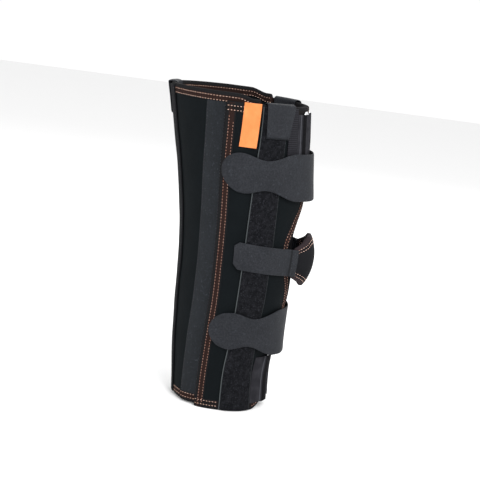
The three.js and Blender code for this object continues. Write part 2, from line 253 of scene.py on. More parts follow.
class Socket:
    """One output of a node, so that maths on it adds the nodes that it needs."""

    def __init__(self, tree, link=None):
        self.tree = tree
        self.link = link

    def add(self, kind, settings, inputs, output=0):
        """Adds a node of any kind: its settings first, then values or links for its inputs."""
        node = self.tree.nodes.new(kind)
        for name, value in settings.items():
            setattr(node, name, value)
        for name, value in inputs.items():
            if isinstance(value, Socket):
                self.tree.links.new(value.link, node.inputs[name])
            else:
                node.inputs[name].default_value = value
        return Socket(self.tree, node.outputs[output])

    def maths(self, operation, *values):
        return self.add("ShaderNodeMath", {"operation": operation}, dict(enumerate(values)))

    def __add__(self, other):
        return self.maths("ADD", self, other)

    def __rsub__(self, other):
        return self.maths("SUBTRACT", other, self)

    def __mul__(self, other):
        return self.maths("MULTIPLY", self, other)

    def __rmul__(self, other):
        return self.maths("MULTIPLY", other, self)

    def between(self, low, high):
        """0 below low, 1 above high and smooth between them."""
        settings = {"interpolation_type": "SMOOTHSTEP"}
        return self.add("ShaderNodeMapRange", settings, {"Value": self, "From Min": low, "From Max": high})

    def mix(self, a, b):
        """Colour a where this is 0 and colour b where it is 1."""
        settings = {"data_type": "RGBA"}
        return self.add("ShaderNodeMix", settings, {"Factor": self, "A": a, "B": b}, "Result")


class Finish:
    """A material in the making, with the places and noises that its look is made from."""

    def __init__(self, name, slot, roughness, sheen=0.0, specular=0.08, metallic=0.0):
        self.material = bpy.data.materials.new(name)
        self.material.use_nodes = True
        self.slot = slot
        tree = self.material.node_tree
        self.shader = tree.nodes["Principled BSDF"]
        self.shader.inputs["Roughness"].default_value = roughness
        self.shader.inputs["Metallic"].default_value = metallic
        self.shader.inputs["Sheen Weight"].default_value = sheen
        self.shader.inputs["Sheen Roughness"].default_value = 0.4
        self.shader.inputs["Specular IOR Level"].default_value = specular
        self.maker = Socket(tree)
        self.object_place = self.maker.add("ShaderNodeTexCoord", {}, {}, "Object")
        self.cloth_place = self.maker.add("ShaderNodeUVMap", {"uv_map": "cloth"}, {})
        split = {"Vector": self.cloth_place}
        self.across = self.maker.add("ShaderNodeSeparateXYZ", {}, split, "X")
        self.along = self.maker.add("ShaderNodeSeparateXYZ", {}, split, "Y")

    def noise(self, size, detail=2.0, roughness=0.5):
        """Noise between 0 and 1 whose features are about size across."""
        inputs = {"Vector": self.object_place, "Scale": 1 / size}
        inputs.update({"Detail": detail, "Roughness": roughness})
        return self.maker.add("ShaderNodeTexNoise", {}, inputs, "Fac")

    def waves(self, place, pitch):
        """Smooth ridges between 0 and 1, one for each pitch of place."""
        angle = place * (2 * math.pi / pitch)
        return angle.maths("SINE", angle) * 0.5 + 0.5

    def stripe(self, start, end):
        """1 between two places across the cloth. Each is a pair: where its edge begins and ends."""
        return self.across.between(*start) * (1 - self.across.between(*end))

    def colour(self, value):
        self.put("Base Color", value)

    def roughness(self, value):
        self.put("Roughness", value)

    def put(self, name, value):
        self.material.node_tree.links.new(value.link, self.shader.inputs[name])

    def relief(self, height, depth):
        """Bump: height between 0 and 1, and depth in metres."""
        bump = self.maker.add("ShaderNodeBump", {}, {"Height": height, "Distance": depth, "Strength": 1.0})
        self.put("Normal", bump)

    def on(self, piece):
        piece.data.materials.append(self.material)
        return piece


def dye(r, g, b):
    return (r, g, b, 1.0)


def panel_cloth(name, dark, light):
    finish = Finish(name, "panel_cloth", 0.9)
    knit = finish.waves(finish.across, 1.1 * MM) * finish.waves(finish.along, 0.8 * MM)
    fleck = finish.noise(0.8 * MM, 3)
    finish.colour((fleck * 0.6 + finish.noise(25 * MM) * 0.4).between(0.3, 0.75).mix(dark, light))
    finish.roughness(fleck * 0.12 + 0.82)
    finish.relief(knit * 0.6 + fleck * 0.4, 0.12 * MM)
    return finish


PANEL = panel_cloth("panel_cloth", dye(0.0014, 0.0024, 0.0031), dye(0.0027, 0.0042, 0.0052))


def posterior_panel():
    size = (2 * (half_round(LENGTH) - BACK_EDGE), LENGTH - BACK_FOOT)

    def place(u, v):
        level = BACK_FOOT + v
        run = back_run(u / size[0], level)
        z = level - v / size[1] * rim_fall(run, level)
        return run, z, back_surface(run, z)

    piece = soft_piece("posterior_foam_panel", size, (3 * MM, 4 * MM), 2.5 * MM, BACK_THICK, place)
    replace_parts(PANEL.on(piece), "posterior_panel")
    return piece


posterior_panel()


# Bound rim and foot of the posterior panel
# Black cloth tape folded over each edge and sewn through with two rows of tan thread. Its section
# runs from the outer leg round the edge to the inner one. The foot's passes over the hook strips.
BAND_WIDTH = 11.5 * MM
BAND_PROUD = 0.5 * MM
BAND_NOSE = 1.1 * MM
BROWN_STRIPE = ((2.6 * MM, 3.8 * MM), (9.2 * MM, 10.2 * MM))
BACK_ROWS = (4.6 * MM, 9.9 * MM)
STITCH_PITCH = 3.8 * MM
STITCH_LENGTH = 1.9 * MM
STITCH_RADIUS = 0.36 * MM
STITCH_SHAPE = np.array([[-1, 0.25], [-0.8, 0.75], [0, 1], [0.8, 0.75], [1, 0.25]])
STITCH_SIDES = 6
GAP = 0.4 * MM
HOOK_WIDTH = 24 * MM
HOOK_THICK = 1.2 * MM
HOOK_GAP = 1 * MM


def smooth_lengths(path):
    return np.concatenate(([0], np.cumsum(np.linalg.norm(np.diff(path, axis=0), axis=1))))


def unit(v):
    return v / np.maximum(np.linalg.norm(v, axis=-1, keepdims=True), 1e-12)


def swept_band(name, ring, flat):
    """A closed strip swept along a path. ring[i, j] is place j of the section at step i."""
    steps, around = ring.shape[:2]
    at = np.arange(steps * around).reshape(steps, around)
    at = np.concatenate((at, at[:, :1]), axis=1)
    faces = [quads(at), at[:1, :-1][:, ::-1], at[-1:, :-1]]
    piece = mesh_object(name, ring.reshape(-1, 3), faces, flat.reshape(-1, 2))
    facing_out(piece)
    return piece


def binding_cloth(name, dark, light):
    """The bound edges: black at the fold, and brown from the outer row of stitches on."""
    finish = Finish(name, "binding_cloth", 0.85)
    weave = finish.waves(finish.across, 0.9 * MM) * finish.waves(finish.along, 0.9 * MM)
    fleck = finish.noise(1.2 * MM, 3)
    black = fleck.mix(dye(0.0035, 0.0038, 0.0045), dye(0.0085, 0.0080, 0.0085))
    finish.colour(finish.stripe(*BROWN_STRIPE).mix(black, fleck.mix(dark, light)))
    finish.relief(weave * 0.5 + fleck * 0.5, 0.15 * MM)
    return finish


def thread(name, dark, light):
    finish = Finish(name, "thread", 0.55, sheen=0.2)
    finish.colour(finish.noise(5 * MM, 2).between(0.3, 0.7).mix(dark, light))
    finish.relief(finish.waves(finish.along, 0.5 * MM), 0.08 * MM)
    return finish


BINDING = binding_cloth("binding_cloth", dye(0.0085, 0.0040, 0.0034), dye(0.0200, 0.0098, 0.0080))
TAN = thread("tan_thread", dye(0.46, 0.270, 0.200), dye(0.72, 0.480, 0.380))


def bound_edge(name, run, z, inward, face, thick, over=None, finish=BINDING):
    """A band along an edge path. inward points into the panel, as run and height. over is how much
    its outer leg is lifted by what it passes over."""
    distances = BAND_WIDTH * np.array([1, 1, 0.75, 0.5, 0.25, 0.1, 0.02])
    lifts = BAND_PROUD * np.array([-0.6, 0.5, 0.8, 0.9, 1, 0.8, 0.2])
    nose = BAND_NOSE * np.array([-0.75, -1, -0.75])
    nose_lifts = thick * np.array([0.12, 0.5, 0.88])
    far = np.concatenate((distances, nose, distances[::-1]))
    out = np.concatenate((lifts, -nose_lifts, -thick - lifts[::-1]))
    place_run = run[:, None] + inward[0][:, None] * far
    place_z = z[:, None] + inward[1][:, None] * far
    if over:
        outer_leg = np.concatenate((np.ones(len(lifts)), [0.85, 0.5, 0.15], np.zeros(len(lifts))))
        out = out + outer_leg * over(place_run, place_z)
    ring = point(place_run, place_z, face(place_run, place_z) + out)
    lengths = smooth_lengths(point(run, z, np.zeros(len(run))))
    flat = np.stack(np.broadcast_arrays(np.maximum(far, 0), lengths[:, None]), axis=-1)
    return finish.on(swept_band(name, ring, flat))


def stitch_row(run, z, out):
    """One row along a path on the brace: the grains' places, faces and cloth places."""
    path = point(run, z, out)
    above = point(run, z, out + MM)
    lengths = smooth_lengths(path)
    count = max(1, int(lengths[-1] // STITCH_PITCH))
    middles = (np.arange(count) + 0.5) * lengths[-1] / count

    def at(values, place):
        return np.stack([np.interp(place, lengths, values[:, k]) for k in range(3)], axis=-1)

    near = 0.5 * MM
    along = unit(at(path, middles + near) - at(path, middles - near))
    up = unit(at(above, middles) - at(path, middles))
    side = np.cross(along, up)
    turn = np.arange(STITCH_SIDES) / STITCH_SIDES * 2 * math.pi
    reach = STITCH_SHAPE[:, 0, None] * np.ones(STITCH_SIDES) * STITCH_LENGTH / 2
    lift = STITCH_SHAPE[:, 1, None] * np.sin(turn) * STITCH_RADIUS
    spread = STITCH_SHAPE[:, 1, None] * np.cos(turn) * STITCH_RADIUS
    places = at(path, middles)[:, None, None]
    places = places + along[:, None, None] * reach[None, ..., None]
    places = places + up[:, None, None] * lift[None, ..., None]
    places = places + side[:, None, None] * spread[None, ..., None]
    grid = places.shape[:3]
    return places, np.stack((np.broadcast_to(spread, grid), np.broadcast_to(reach, grid)), -1)


def stitching(name, rows, finish):
    """One piece with every stitch of several rows."""
    rings = [stitch_row(*row) for row in rows]
    places = np.concatenate([r[0] for r in rings])
    cloth = np.concatenate([r[1] for r in rings])
    grains, steps, around = places.shape[:3]
    at = np.arange(steps * around).reshape(steps, around)
    at = np.concatenate((at, at[:, :1]), axis=1)
    starts = (np.arange(grains) * steps * around)[:, None, None]
    walls = (quads(at)[None] + starts).reshape(-1, 4)
    ends = np.concatenate((at[:1, :-1][:, ::-1], at[-1:, :-1]))[None] + starts
    faces = [walls, ends.reshape(-1, STITCH_SIDES)]
    piece = mesh_object(name, places.reshape(-1, 3), faces, cloth.reshape(-1, 2))
    return finish.on(piece)


def over_hook_strip(run, z):
    """How much the foot's binding is lifted where it passes over a hook strip."""
    past = from_front(run, z) - lap_edge(z) - HOOK_GAP
    return (GAP + HOOK_THICK) * ease((past + MM) / MM) * ease((HOOK_WIDTH + MM - past) / MM)


def not_lifted(run, z):
    return 0 * run


share = np.linspace(0.001, 0.999, 220)
for word, z, up, over in (("rim", LENGTH, -1, not_lifted), ("foot", BACK_FOOT, 1, over_hook_strip)):
    run = back_run(share, z)
    height = z - (rim_fall(run, z) if word == "rim" else 0 * run)
    inward = (np.zeros(share.shape), np.full(share.shape, float(up)))
    bound_edge(f"posterior_{word}_binding", run, height, inward, back_surface, BACK_THICK, over)
    rows = []
    for inset in BACK_ROWS:
        row_z = height + up * inset
        rows.append((run, row_z, back_surface(run, row_z) + BAND_PROUD + over(run, row_z)))
        rows.append((run, row_z, back_surface(run, row_z) - BACK_THICK - BAND_PROUD))
    stitching(f"posterior_{word}_stitches", rows, TAN)


# Side panels
# Two panels of the same laminated foam that lap over the back panel, with the kneecap opening cut
# into their front edges and a round lower corner. All edges are bound and sewn in two rows:
# orange up the back and front edges, tan along the top and foot.
SIDES = (("lateral", 1), ("medial", -1))
SIDE_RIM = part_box("lateral_panel")[1].z
FRONT_EDGE = 8 * MM
CORNER_RUN = 54 * MM
CORNER_RISE = 45 * MM
OPENING_HEIGHT = 172 * MM
OPENING_DEPTH = 33 * MM
OPENING_FOOT = 107 * MM
OPENING_HEIGHTS = np.array([0, 0.09, 0.19, 0.3, 0.45, 0.65, 0.82, 0.94, 1])
OPENING_DEPTHS = np.array([0, 0.04, 0.14, 0.33, 0.68, 1, 0.64, 0.14, 0])
OUTER_ROW = 4 * MM
INNER_ROW = 9.2 * MM
BACK_ROW_TOPS = {OUTER_ROW: SIDE_RIM - 13 * MM, INNER_ROW: SIDE_RIM - 22 * MM}
ROW_SHORT = 0.6
POCKET_FRONT = 69 * MM
POCKET_BACK = 105 * MM
POCKET_FORE = np.array([0.665, 0.672, 0.8, 0.93, 1.0, 1.0, 0.98, 0.94, 0.9])
POCKET_AFT = np.array([0.83, 0.82, 0.862, 0.955, 1.0, 1.0, 0.98, 0.95, 0.925])


def front_edge(z):
    """Front edge of a side panel: cut out at the kneecap and round at the lower corner."""
    up = (z - OPENING_FOOT) / OPENING_HEIGHT
    depth = np.maximum(0, through(OPENING_HEIGHTS, OPENING_DEPTHS, up)) * OPENING_DEPTH
    corner = 1 - np.sqrt(1 - np.clip(1 - z / CORNER_RISE, 0, 1) ** 2)
    return FRONT_EDGE + depth + CORNER_RUN * corner


def side_surface(run, z):
    return side_face(np.abs(run) * SIDE_BACK / lap_edge(z))


def side_panel(word, side):
    size = (SIDE_BACK - FRONT_EDGE, SIDE_RIM)

    def place(u, v):
        run = lerp(gathered(front_edge(v), v), lap_edge(v), u / size[0])
        return side * run, v, side_surface(run, v)

    piece = soft_piece(f"{word}_foam_panel", size, (2.5 * MM, 3 * MM), 2 * MM, SIDE_THICK, place)
    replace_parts(PANEL.on(piece), f"{word}_panel")
    return piece


def across_edge(run, z):
    """Unit direction to the left of a path in the cloth's plane, as run and height."""
    dr = np.gradient(run)
    dz = np.gradient(z)
    size = np.hypot(dr, dz)
    return -dz / size, dr / size


def side_edges(side):
    """The four edges of a side panel: name, run, height and the direction into the panel."""
    corner = CORNER_RISE * (1 - np.cos(np.linspace(0, math.pi / 2, 30)))
    z = np.concatenate((corner[:-1], np.linspace(CORNER_RISE, SIDE_RIM, 140)))
    z = lerp(BAND_NOSE, SIDE_RIM, z / SIDE_RIM)
    back = lap_edge(z)
    front = gathered(front_edge(z), z)
    steps = np.linspace(0, 1, 60)
    top = lerp(lap_edge(SIDE_RIM), gathered(FRONT_EDGE, SIDE_RIM), steps)
    foot = lerp(gathered(front_edge(BAND_NOSE), 0.0), lap_edge(0.0), steps)
    inward_front = across_edge(front, z)
    return (
        ("back", side * back, z, (0 * z - side, 0 * z)),
        ("top", side * top, 0 * top + SIDE_RIM, (0 * top, 0 * top - 1)),
        ("foot", side * foot, 0 * foot + BAND_NOSE, (0 * foot, 0 * foot + 1)),
        ("front", side * front, z, (-side * inward_front[0], -inward_front[1])),
    )


def pocket_edges(z):
    """Where the front and back edges of a side stay pocket run."""
    fore = POCKET_FRONT * through(HEIGHTS, POCKET_FORE, z / LENGTH)
    return fore, POCKET_BACK * through(HEIGHTS, POCKET_AFT, z / LENGTH)


def row_shown(name, inset, run, z):
    """Which part of a row is sewn through to the outer face. The rows of the top and foot end at
    the pocket, those of the back edge begin below the rim, and the round corner has one."""
    if name == "back":
        return (z > inset * ROW_SHORT) & (z < BACK_ROW_TOPS[inset])
    if name == "front":
        single = (z > CORNER_RISE / 2) | (inset == OUTER_ROW)
        return single & (z > inset * ROW_SHORT) & (z < SIDE_RIM - inset * ROW_SHORT)
    return np.abs(run) > pocket_edges(z)[1] + MM


HEM_BINDING = binding_cloth("hem_binding_cloth", dye(0.0036, 0.0031, 0.0033), dye(0.0082, 0.0064, 0.0062))
ORANGE = thread("orange_thread", dye(0.21, 0.085, 0.052), dye(0.41, 0.245, 0.190))


def side_trim(word, side):
    upright = []
    level = []
    for name, run, z, inward in side_edges(side):
        rows, finish = (upright, BINDING) if name in ("back", "front") else (level, HEM_BINDING)
        bound_edge(f"{word}_{name}_binding", run, z, inward, side_surface, SIDE_THICK, finish=finish)
        for inset in (OUTER_ROW, INNER_ROW):
            row_run = run + inward[0] * inset
            row_z = z + inward[1] * inset
            shown = row_shown(name, inset, row_run, row_z)
            row_run, row_z = row_run[shown], row_z[shown]
            rows.append((row_run, row_z, side_surface(row_run, row_z) + BAND_PROUD))
            rows.append((row_run, row_z, side_surface(row_run, row_z) - SIDE_THICK - BAND_PROUD))
    stitching(f"{word}_panel_stitches", upright, ORANGE)
    stitching(f"{word}_hem_stitches", level, TAN)


for word, side in SIDES:
    side_panel(word, side)
    side_trim(word, side)


# Hook strips
# Grey hook tape sewn along both edges on the back panel, just behind each side panel's bound edge.
# It runs from the foot to a little below the rim.
HOOK_DROP = 11 * MM
INSET = 1 * MM
HOOK_ROW_INSET = 1.6 * MM
HOOK_ROW_SHORT = 2 * MM


def hook_tape(name, dark, light, seam=None):
    """Hook tape with scattered bright hooks. seam is the place and half width of a dark sewn line."""
    finish = Finish(name, "hook_tape", 0.62, specular=0.14)
    hooks = finish.waves(finish.across, 1.3 * MM) * finish.waves(finish.along, 1.3 * MM)
    grain = finish.noise(1.9 * MM, 3, 0.7).between(0.3, 0.7)
    speck = finish.noise(2.8 * MM, 2, 0.7).between(0.60, 0.72)
    patch = finish.noise(26 * MM, 2)
    tone = (grain * 0.45 + patch * 0.35 + hooks * 0.2).between(0.2, 0.8)
    cloth = (speck * 0.6).mix(tone.mix(dark, light), dye(0.030, 0.035, 0.043))
    if seam:
        middle, half = seam
        dark_line = finish.stripe((middle - half, middle - 0.4 * half), (middle + 0.4 * half, middle + half))
        cloth = (dark_line * 0.85).mix(cloth, dye(0.0030, 0.0036, 0.0046))
    finish.colour(cloth)
    finish.roughness(grain * 0.2 + 0.55)
    finish.relief(hooks * 0.6 + grain * 0.4, 0.16 * MM)
    return finish


STRIP = hook_tape("hook_strip_tape", dye(0.0025, 0.0037, 0.0052), dye(0.0088, 0.0108, 0.0139))
BLACK_THREAD = thread("black_thread", dye(0.008, 0.008, 0.010), dye(0.022, 0.022, 0.026))


def hook_strip(word, side):
    size = (HOOK_WIDTH, LENGTH - HOOK_DROP - BACK_FOOT - INSET)

    def place(u, v):
        z = BACK_FOOT + INSET + v
        run = lap_edge(z) + HOOK_GAP + u
        return side * run, z, back_face(run, z) + GAP + HOOK_THICK

    piece = soft_piece(f"{word}_hook_tape_strip", size, (1.5 * MM, 4 * MM), 0.6 * MM, HOOK_THICK, place)
    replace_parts(STRIP.on(piece), f"{word}_hook_strip")
    rows = []
    z = np.linspace(BACK_FOOT + BAND_WIDTH, LENGTH - HOOK_DROP - HOOK_ROW_SHORT, 140)
    for across in (HOOK_ROW_INSET, HOOK_WIDTH - HOOK_ROW_INSET):
        run = lap_edge(z) + HOOK_GAP + across
        rows.append((side * run, z, back_face(run, z) + GAP + HOOK_THICK))
    stitching(f"{word}_hook_strip_stitches", rows, BLACK_THREAD)


for word, side in SIDES:
    hook_strip(word, side)


# Side stay pockets
# Fuzzy loop strips, with a highlight line painted along their edges, sewn on the side panels from rim
# to foot. The flat stay inside each makes it swell.
POCKET_WIDTH = POCKET_BACK - POCKET_FRONT
POCKET_THICK = 1.4 * MM
POCKET_SWELL = 1.2 * MM
POCKET_SHOULDER = 11 * MM
# Where the highlight painted along each pocket edge fades out, measured from that edge.
SELVEDGE_HIGHLIGHT = (0.8 * MM, 1.4 * MM)


def loop_cloth():
    finish = Finish("loop_cloth", "loop_cloth", 0.95)
    pile = finish.noise(1.3 * MM, 4, 0.65)
    speck = finish.noise(1.7 * MM, 2, 0.7).between(0.56, 0.68)
    patch = finish.noise(5 * MM, 3, 0.6).between(0.35, 0.7)
    base = patch.mix(dye(0.0022, 0.0025, 0.0034), dye(0.0070, 0.0073, 0.0090))
    # Painted highlight: a light line along the back edge and a fainter one along the front edge, where the
    # edges catch the light.
    back = finish.across.between(POCKET_WIDTH - SELVEDGE_HIGHLIGHT[1], POCKET_WIDTH - SELVEDGE_HIGHLIGHT[0])
    selvedge_highlight = back + 0.3 * (1 - finish.across.between(*SELVEDGE_HIGHLIGHT))
    speckled = (speck * 0.55).mix(base, dye(0.025, 0.026, 0.032))
    finish.colour((selvedge_highlight * 0.75).mix(speckled, dye(0.058, 0.066, 0.068)))
    finish.relief(pile, 0.8 * MM)
    return finish


LOOP = loop_cloth()


def side_pocket(word, side):
    size = (POCKET_WIDTH, SIDE_RIM - 2 * INSET)

    def place(u, v):
        z = INSET + v
        fore, aft = pocket_edges(z)
        run = lerp(fore, aft, u / POCKET_WIDTH)
        swell = POCKET_SWELL * ease(u / POCKET_SHOULDER) * ease((POCKET_WIDTH - u) / POCKET_SHOULDER)
        return side * run, z, side_surface(run, z) + GAP + POCKET_THICK + swell

    piece = soft_piece(f"{word}_loop_pocket", size, (1.5 * MM, 3.5 * MM), 0.7 * MM, POCKET_THICK, place)
    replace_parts(LOOP.on(piece), f"{word}_stay_pocket")


for word, side in SIDES:
    side_pocket(word, side)


# Posterior stay pocket
# A flat pocket of black cloth down the middle of the back panel, narrower at the foot, with a stay
# inside. It is sewn on along both edges with black thread.
BACK_POCKET_TOP = 84 * MM
BACK_POCKET_FOOT = 46 * MM
BACK_POCKET_THICK = 2.1 * MM
POCKET_ROW_SHORT = 3 * MM
POCKET_ROW_INSET = 2 * MM
PAD_CLOTH = panel_cloth("pad_cloth", dye(0.0042, 0.0044, 0.0054), dye(0.0078, 0.0080, 0.0094))


def back_pocket():
    size = (BACK_POCKET_TOP, LENGTH - BACK_FOOT - 2 * INSET)

    def place(u, v):
        z = BACK_FOOT + INSET + v
        across = lerp(BACK_POCKET_FOOT, BACK_POCKET_TOP, z / LENGTH) * (u / size[0] - 0.5)
        return half_round(z) + across, z, GAP + BACK_POCKET_THICK + 0 * u

    piece = soft_piece("posterior_pocket_cover", size, (2.5 * MM, 4 * MM), 1 * MM, BACK_POCKET_THICK, place)
    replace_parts(PAD_CLOTH.on(piece), "posterior_stay_pocket")
    z = np.linspace(BACK_FOOT + POCKET_ROW_SHORT, LENGTH - POCKET_ROW_SHORT, 140)
    half = lerp(BACK_POCKET_FOOT, BACK_POCKET_TOP, z / LENGTH) / 2 - POCKET_ROW_INSET
    face = GAP + BACK_POCKET_THICK + 0 * z
    rows = [(half_round(z) + sign * half, z, face) for sign in (-1, 1)]
    stitching("posterior_pocket_stitches", rows, BLACK_THREAD)


back_pocket()


# Ribbed tapes
# Black woven tape with ribs across it, sewn on the side panel in front of each pocket. It runs
# from the rim to under the upper strap.
RIBBED_FRONT = 43.5 * MM
RIBBED_SIZE = (17 * MM, 96 * MM)
RIBBED_THICK = 1 * MM


def woven_tape():
    finish = Finish("woven_tape", "woven_tape", 0.8, sheen=0.03)
    ribs = finish.waves(finish.along, 2.6 * MM)
    thread = finish.waves(finish.across, 0.9 * MM)
    weave = ribs * 0.7 + thread * 0.3
    finish.colour(weave.mix(dye(0.0030, 0.0030, 0.0042), dye(0.0180, 0.0176, 0.0220)))
    finish.relief(weave, 0.25 * MM)
    return finish


RIBBED = woven_tape()


def ribbed_tape(word, side):
    def place(u, v):
        return side * (RIBBED_FRONT + u), SIDE_RIM - INSET - v, GAP + RIBBED_THICK + 0 * u

    piece = soft_piece(f"{word}_rib_tape", RIBBED_SIZE, (1.5 * MM, 2 * MM), 0.5 * MM, RIBBED_THICK, place)
    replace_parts(RIBBED.on(piece), f"{word}_ribbed_tape")


for word, side in SIDES:
    ribbed_tape(word, side)


# Tabs
# Grey hook tape folded over the rim at both sides and at the back: a long outer leg, a round fold
# and a short inner leg. The side ones bridge the pocket and the ribbed tape.
TAB_THICK = 1.4 * MM
TAB_DROP = 39 * MM
TAB_INNER_DROP = 16 * MM
TAB_RISE = 3 * MM
BACK_TAB_RISE = 1.5 * MM
TAB_TAPER = 10 * MM
TAB_FRONT = 53 * MM
TAB_WIDTH = 40 * MM
TAB_EDGE = 0.6 * MM
FOLD_RADIUS = 5 * MM
FOLD_LENGTH = 16 * MM
FOLD_REACH = 2.7
BRIDGE_END = 14 * MM
HOOK_COLOURS = (dye(0.0062, 0.0072, 0.0096), dye(0.0182, 0.0196, 0.0238))
HOOK = hook_tape("hook_tape", *HOOK_COLOURS)


def covered_face(run):
    """Face that tabs and tapes lie on: they bridge from the front margin over the pocket."""
    bridging = ease((POCKET_BACK + BRIDGE_END - run) / BRIDGE_END)
    return side_face(run) + (GAP + POCKET_THICK + POCKET_SWELL) * bridging


def over_back_pocket(run):
    return GAP + BACK_POCKET_THICK + 0 * run


def folded_tab(name, node, start, width, rim, inner, outer, lift, taper):
    """A tape over a rim. inner is the face it hooks behind and outer(run) the one it lies on. Its
    fold stands lift above the rim, and its foot is narrower by taper."""
    across = stations(width, 3 * MM, TAB_EDGE)
    crest = rim + GAP
    legs = (crest - rim + TAB_DROP, crest - rim + TAB_INNER_DROP)
    down = np.linspace(0, 1, 12)
    turn = np.linspace(0, math.pi, 15)[1:-1]
    u, _ = np.meshgrid(across, np.zeros(len(down) * 2 + len(turn)))
    near_foot = np.concatenate((1 - down, 0 * turn, 0 * down))[:, None]
    side = math.copysign(1, start)
    run = start + side * (u + taper * (1 - u / width) * near_foot)
    far = outer(np.abs(run))
    half = (far - inner) / 2 + GAP + TAB_THICK / 2
    middle = (far + inner) / 2
    rise = np.concatenate((0 * down, np.sin(turn), 0 * down))[:, None]
    swing = np.concatenate((0 * down + 1, np.cos(turn), 0 * down - 1))[:, None]
    drop = np.concatenate((legs[0] * (1 - down), 0 * turn, legs[1] * down))[:, None]
    folded = lift * rise
    lengths = (legs[0] * down, legs[0] + turn * FOLD_RADIUS, legs[0] + FOLD_LENGTH + legs[1] * down)
    lengths = np.concatenate(lengths)
    length = lengths[-1]
    full = np.minimum(roundness(u, width, TAB_EDGE), roundness(lengths, length, TAB_EDGE)[:, None])
    reach = full * TAB_THICK / 2
    faces = []
    for sign in (1, -1):
        z = crest - drop + folded + sign * reach * rise
        faces.append(point(run, z, middle + (half + sign * reach) * swing))
    flat = np.stack((u, lengths[:, None] + 0 * u), axis=-1)
    piece = closed_grid(name, faces[0], faces[1], flat)
    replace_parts(HOOK.on(piece), node)
    fold = float(np.mean(half)) * FOLD_REACH
    legs[0] + legs[1] + fold


for word, side in SIDES:
    folded_tab(f"{word}_folded_tab", f"{word}_tab", side * TAB_FRONT, TAB_WIDTH, SIDE_RIM,
               -SIDE_THICK, covered_face, TAB_RISE, TAB_TAPER)
folded_tab("posterior_folded_tab", "posterior_tab", half_round(LENGTH) - TAB_WIDTH / 2, TAB_WIDTH,
           LENGTH, -BACK_THICK, over_back_pocket, BACK_TAB_RISE, 0.0)


# Label
# A blank orange woven label, sewn by its ends at the rim of the outer side. It leans a little and
# stands just above the rim.
LABEL_SIZE = (20 * MM, 54 * MM)
LABEL_THICK = 0.9 * MM
LABEL_BACK = 120 * MM
LABEL_LEAN = 4 * MM
LABEL_RISE = 2 * MM


def label_cloth():
    finish = Finish("label_cloth", "label_cloth", 0.6, sheen=0.15)
    weave = finish.waves(finish.across, 0.5 * MM) * finish.waves(finish.along, 0.7 * MM)
    shade = finish.noise(14 * MM, 3)
    tone = (shade * 0.7 + weave * 0.3).between(0.2, 0.8)
    finish.colour(tone.mix(dye(0.53, 0.158, 0.046), dye(0.66, 0.230, 0.078)))
    finish.relief(weave, 0.1 * MM)
    return finish


LABEL = label_cloth()


def label():
    def place(u, v):
        run = LABEL_BACK - u + LABEL_LEAN * v / LABEL_SIZE[1]
        return run, SIDE_RIM + LABEL_RISE - v, covered_face(run) + GAP + LABEL_THICK

    piece = soft_piece("side_label", LABEL_SIZE, (1 * MM, 1.5 * MM), 0.4 * MM, LABEL_THICK, place)
    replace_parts(LABEL.on(piece), "label")


label()


# Front channels and their stays
# Sleeves of flat black tape, with shade painted in a stripe beside the tube and a highlight painted along
# the flange's edge, sewn along the front edges of the thigh and calf parts. Each is open at the top,
# where the round tip of its aluminium bar shows.
CHANNEL_THICK = 3.4 * MM
CHANNEL_WALL = 0.8 * MM
CHANNEL_EDGE_GAP = 1.5 * MM
CHANNEL_ROUND = 5 * MM
EDGE_SHARE = 0.3
HOLLOW_ROUND = 4 * MM
HOLLOW_SHARE = 0.85
# Across places of the shade painted on the tube beside the flange, and of the highlight line painted at the
# flange's edge.
SHADE_STRIPE = ((-12 * MM, -11 * MM), (-2.5 * MM, -1.5 * MM))
HIGHLIGHT_LINE = ((-0.6 * MM, -0.2 * MM), (0.5 * MM, 0.9 * MM))
STAY_WIDTH = 14 * MM
STAY_CLEARANCE = 0.3 * MM
STAY_TIP = 6 * MM
STAY_TIP_ROUND = 0.75
THIGH_CHANNEL_WIDTH = 33.5 * MM
CHANNELS = {
    "thigh": dict(
        width=THIGH_CHANNEL_WIDTH, flange=4.5 * MM, length=106 * MM, top=SIDE_RIM - 8 * MM,
        reveal=3.5 * MM, stay=96 * MM,
    ),
    "calf": dict(
        width=37 * MM, flange=18 * MM, length=62 * MM, top=71.5 * MM,
        reveal=1.5 * MM, stay=54 * MM,
    ),
}


def smooth_tape():
    """The flatter tape of the channels. across is measured from where the tube meets the flange:
    a painted highlight line on the flange's side, and on the tube's side a stripe of painted shade
    where the tube meets the flange."""
    finish = Finish("channel_tape", "woven_tape", 0.85, specular=0.04)
    weave = finish.waves(finish.across, 0.8 * MM) * finish.waves(finish.along, 0.8 * MM)
    patch = finish.noise(12 * MM, 2)
    base = patch.between(0.3, 0.7).mix(dye(0.0130, 0.0128, 0.0155), dye(0.0215, 0.0212, 0.0250))
    # Painted shade in the groove beside the tube, then a painted highlight line at the flange's edge.
    with_shade_stripe = (finish.stripe(*SHADE_STRIPE) * 0.92).mix(base, dye(0.0015, 0.0015, 0.0020))
    finish.colour((finish.stripe(*HIGHLIGHT_LINE) * 0.8).mix(with_shade_stripe, dye(0.050, 0.051, 0.058)))
    finish.relief(weave, 0.1 * MM)
    return finish


def aluminium():
    finish = Finish("bare_aluminium", "aluminium", 0.3, metallic=1.0)
    brushed = finish.noise(1.5 * MM, 4)
    finish.colour(brushed.mix(dye(0.78, 0.78, 0.80), dye(0.92, 0.92, 0.93)))
    finish.roughness(brushed * 0.15 + 0.25)
    return finish


SMOOTH = smooth_tape()
METAL = aluminium()


